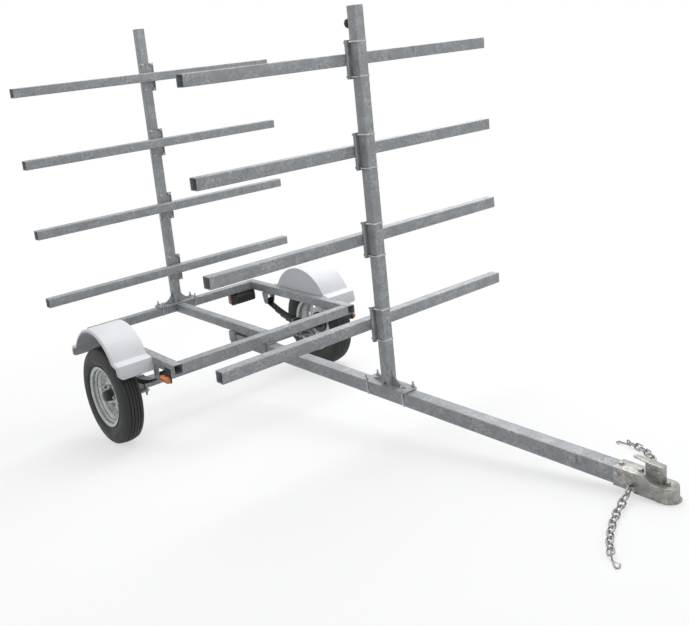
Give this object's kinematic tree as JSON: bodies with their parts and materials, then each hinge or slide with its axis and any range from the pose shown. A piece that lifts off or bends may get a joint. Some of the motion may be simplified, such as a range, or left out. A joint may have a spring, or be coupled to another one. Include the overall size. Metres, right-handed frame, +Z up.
{
  "type": "paddleboard trailer",
  "caption": "Galvanised trailer with two wheels, white fenders, a long tongue with a ball coupler, and front and rear posts carrying straight cross arms for boards.",
  "frame": {"origin": "on the floor, at the middle of the whole object's bounding box seen from above, as it parks with its coupler on the floor", "axes": "+X forward along the tongue to the coupler, +Y to the trailer's left, +Z up"},
  "size_m": [3.3964, 1.676, 2.2463],
  "materials": {
    "galvanised_steel": "hot-dip galvanised, spangled, semi-matt",
    "galvanised_rim": "galvanised pressed steel",
    "bright_zinc": "bright zinc plate",
    "zinc_plate": "zinc plate with a yellowish cast",
    "chain_zinc": "zinc plate, dull",
    "tyre_rubber": "matt black rubber",
    "black_hub": "black enamel",
    "spring_black": "black paint",
    "white_plastic": "smooth white moulded plastic",
    "black_plastic": "black moulded plastic",
    "red_lens": "red lamp lens",
    "amber_lens": "amber lamp lens"
  },
  "bodies": {
    "chassis": {"axle": "galvanised_steel", "axle_clamps_left": "galvanised_steel", "axle_clamps_right": "galvanised_steel", "centre_beam": "galvanised_steel", "chain_eyes": "zinc_plate", "coupler": "zinc_plate", "coupler_latch": "zinc_plate", "fender_left": "white_plastic", "fender_right": "white_plastic", "front_arm_1": "galvanised_steel", "front_arm_2": "galvanised_steel", "front_arm_3": "galvanised_steel", "front_arm_4": "galvanised_steel", "front_arm_brackets": "galvanised_steel", "front_arm_clamps": "bright_zinc", "front_crossmember": "galvanised_steel", "front_post": "galvanised_steel", "front_post_clamps": "bright_zinc", "leaf_spring_left": "spring_black", "leaf_spring_right": "spring_black", "post_knob": "black_plastic", "rear_arm_1": "galvanised_steel", "rear_arm_2": "galvanised_steel", "rear_arm_3": "galvanised_steel", "rear_arm_4": "galvanised_steel", "rear_arm_brackets": "galvanised_steel", "rear_arm_clamps": "bright_zinc", "rear_crossmember": "galvanised_steel", "rear_post": "galvanised_steel", "rear_post_clamps": "bright_zinc", "safety_chain_left": "chain_zinc", "safety_chain_right": "chain_zinc", "side_marker_base_left": "black_plastic", "side_marker_base_right": "black_plastic", "side_marker_lens_left": "amber_lens", "side_marker_lens_right": "amber_lens", "side_rail_left": "galvanised_steel", "side_rail_right": "galvanised_steel", "spring_hanger_front_left": "galvanised_steel", "spring_hanger_front_right": "galvanised_steel", "spring_hanger_rear_left": "galvanised_steel", "spring_hanger_rear_right": "galvanised_steel", "tail_lamp_housing_left": "black_plastic", "tail_lamp_housing_right": "black_plastic", "tail_lamp_lens_left": "red_lens", "tail_lamp_lens_right": "red_lens", "tongue": "galvanised_steel", "tongue_clamps": "galvanised_steel", "tongue_saddles": "galvanised_steel"},
    "wheel_left": {"hub_left": "black_hub", "rim_left": "galvanised_rim", "tyre_left": "tyre_rubber"},
    "wheel_right": {"hub_right": "black_hub", "rim_right": "galvanised_rim", "tyre_right": "tyre_rubber"}
  },
  "joints": [
    {"name": "wheel_left_spin", "type": "hinge", "parent": "chassis", "child": "wheel_left", "pos_m": [-1.1833, 0.722, 0.268], "axis": [0, 1, 0], "continuous": true},
    {"name": "wheel_right_spin", "type": "hinge", "parent": "chassis", "child": "wheel_right", "pos_m": [-1.1833, -0.722, 0.268], "axis": [0, 1, 0], "continuous": true}
  ]
}
